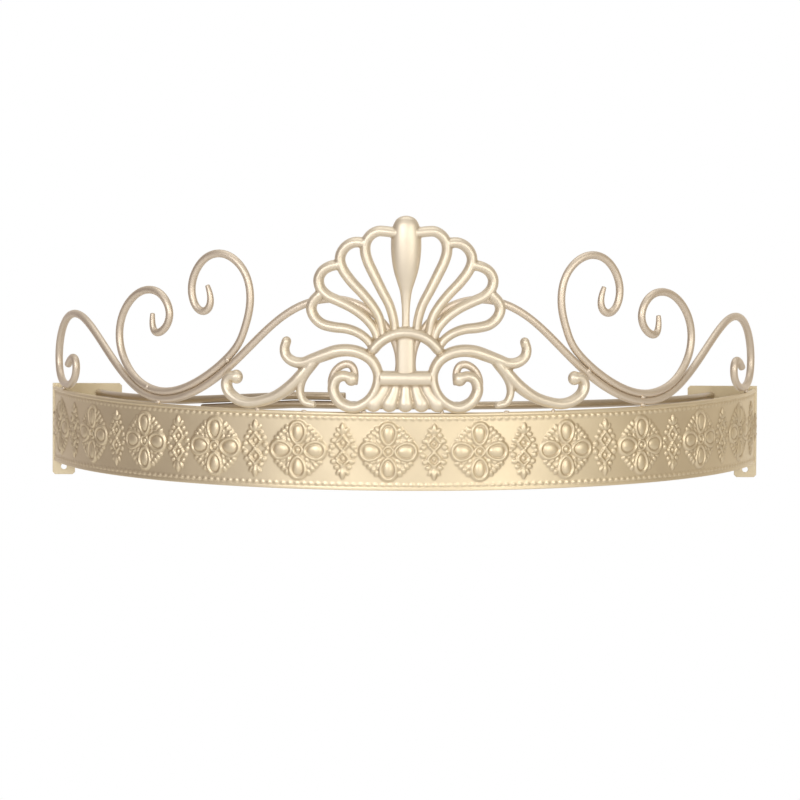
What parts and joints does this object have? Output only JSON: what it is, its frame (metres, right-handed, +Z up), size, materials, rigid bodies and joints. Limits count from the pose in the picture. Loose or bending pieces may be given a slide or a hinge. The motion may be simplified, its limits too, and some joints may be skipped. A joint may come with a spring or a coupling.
{
  "type": "bed crown",
  "caption": "Half-round metal bed crown for a wall: a curved band with a rolled rim carries scrolled rods and a cast palmette, with curtain rods inside it and plates that screw to the wall.",
  "frame": {"origin": "on the wall plane, on the crown's centre line, level with the band's lower edge", "axes": "+X to the right as seen from the room, along the wall; +Y into the wall; +Z up"},
  "size_m": [0.6, 0.26, 0.237],
  "materials": {
    "band_paint": "satin champagne gold paint on embossed sheet steel",
    "rod_paint": "satin champagne gold paint on bent steel rod",
    "casting_paint": "satin champagne gold paint on a casting",
    "inner_paint": "satin champagne gold paint on bent steel rod, in shade",
    "plate_paint": "satin champagne gold paint on flat steel bar"
  },
  "bodies": {
    "root": {"band": "band_paint", "wall_plate_left": "plate_paint", "wall_plate_right": "plate_paint", "curtain_rod_left": "inner_paint", "curtain_rod_right": "inner_paint", "outer_scroll_left": "rod_paint", "outer_scroll_right": "rod_paint", "lyre_scroll_left": "rod_paint", "lyre_scroll_right": "rod_paint", "palmette_casting": "casting_paint"}
  },
  "joints": []
}
